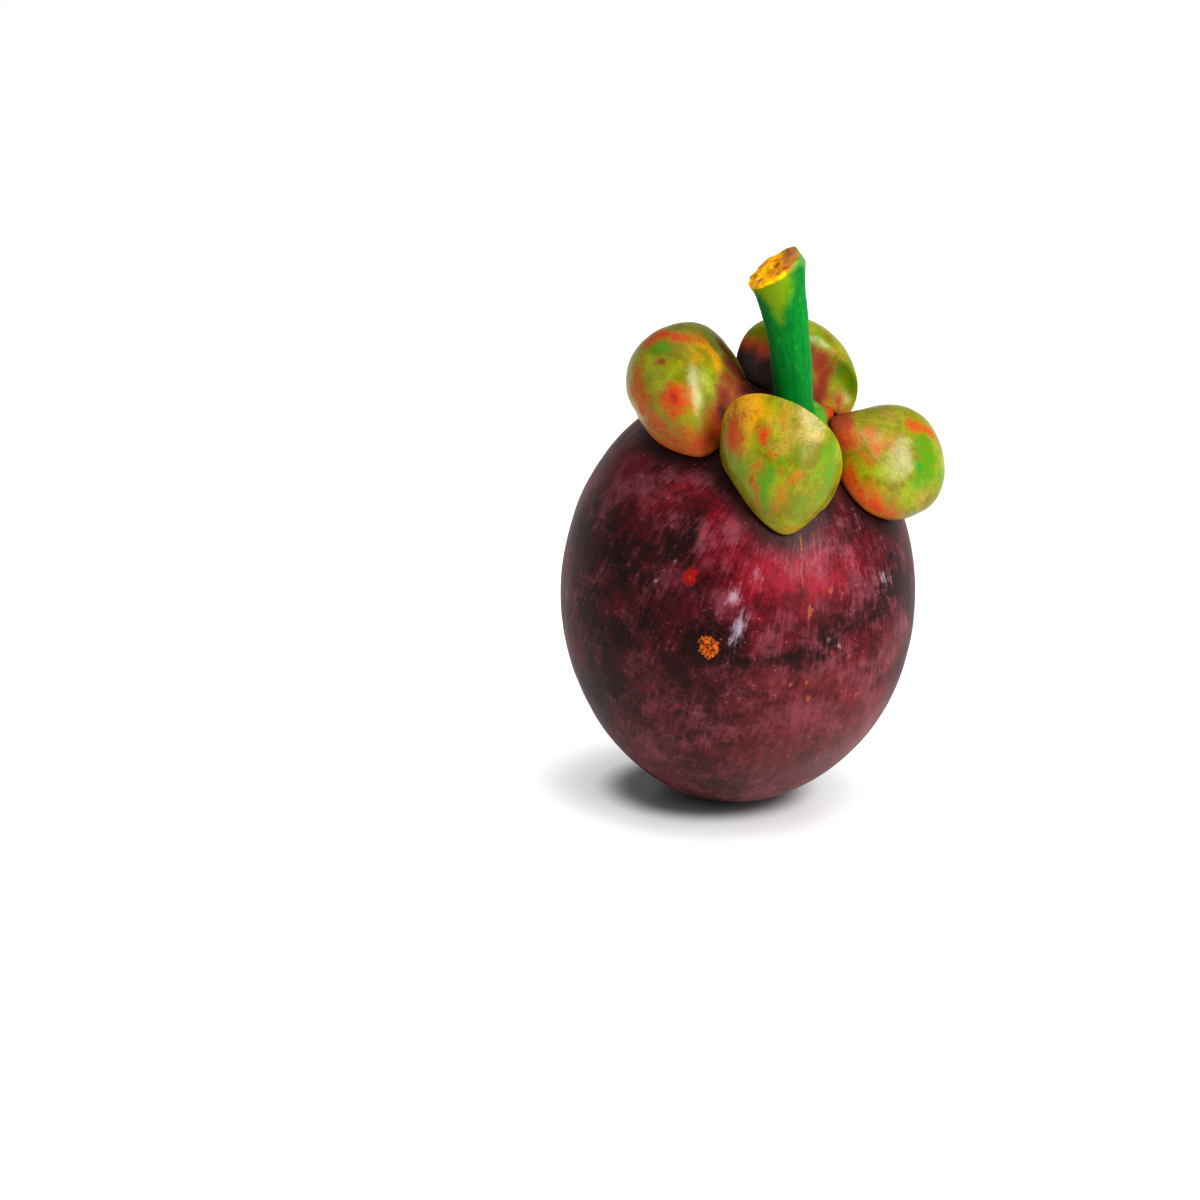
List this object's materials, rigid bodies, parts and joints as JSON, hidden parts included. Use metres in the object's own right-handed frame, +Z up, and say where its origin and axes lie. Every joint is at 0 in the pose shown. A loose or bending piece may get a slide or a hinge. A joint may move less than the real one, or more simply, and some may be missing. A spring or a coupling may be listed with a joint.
{
  "type": "mangosteen",
  "caption": "Whole ripe mangosteen with a dark maroon rind, domed green and red sepals and a short green stem, leaning as it rests.",
  "frame": {"origin": "centre of the small flat spot that the fruit rests on", "axes": "+Z up as the fruit rests, +X to the right and -Y to the front; the stem end leans up, to the right and to the front"},
  "size_m": [0.06, 0.058, 0.0928],
  "materials": {
    "rind": "satin rind, dark maroon with brighter red patches, fine streaks, pale specks and a few orange-brown scars",
    "sepal": "satin, yellow-green with orange-red blotches and brown speckles",
    "stem": "satin green bark, yellow-green towards a rough orange cut end",
    "rosette": "dull dry brown"
  },
  "bodies": {
    "root": {"fruit": "rind", "sepal_left": "sepal", "sepal_front": "sepal", "sepal_right": "sepal", "sepal_back": "sepal", "stem": "stem", "stigma_rosette": "rosette"}
  },
  "joints": []
}
